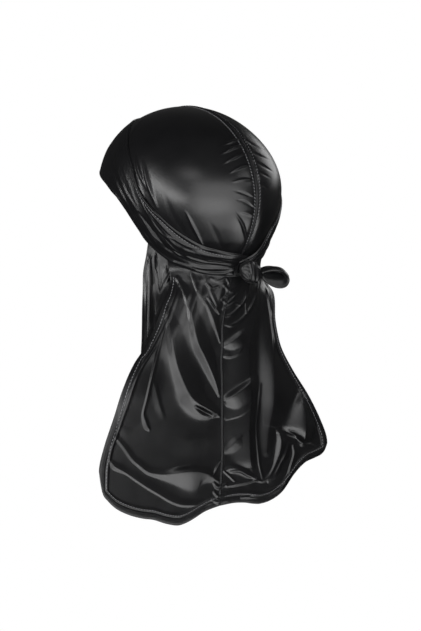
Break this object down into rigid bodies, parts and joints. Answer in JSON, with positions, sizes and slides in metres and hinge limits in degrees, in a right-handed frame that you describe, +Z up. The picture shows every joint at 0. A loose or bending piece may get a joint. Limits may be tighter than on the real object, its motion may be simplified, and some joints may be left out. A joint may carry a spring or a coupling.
{
  "type": "durag",
  "caption": "Tied head wrap with a seamed crown, a wide strap knotted at the nape and a long tail that hangs down the back, kept in its worn form.",
  "frame": {"origin": "inside of the top of the crown, where the head bears, on the middle plane", "axes": "+Z up, +Y toward the back of the head, +X toward the wearer's left"},
  "size_m": [0.2779, 0.1966, 0.3892],
  "materials": {
    "satin": "glossy black satin",
    "thread": "black overlocked stitching"
  },
  "bodies": {
    "root": {"crown_left": "satin", "crown_right": "satin", "crown_seam": "thread", "strap_wrap": "satin", "strap_fold_left": "satin", "strap_fold_right": "satin", "knot": "satin", "bow_loop": "satin", "tail_left": "satin", "tail_right": "satin", "tail_seam": "thread", "side_fold": "satin"}
  },
  "joints": []
}
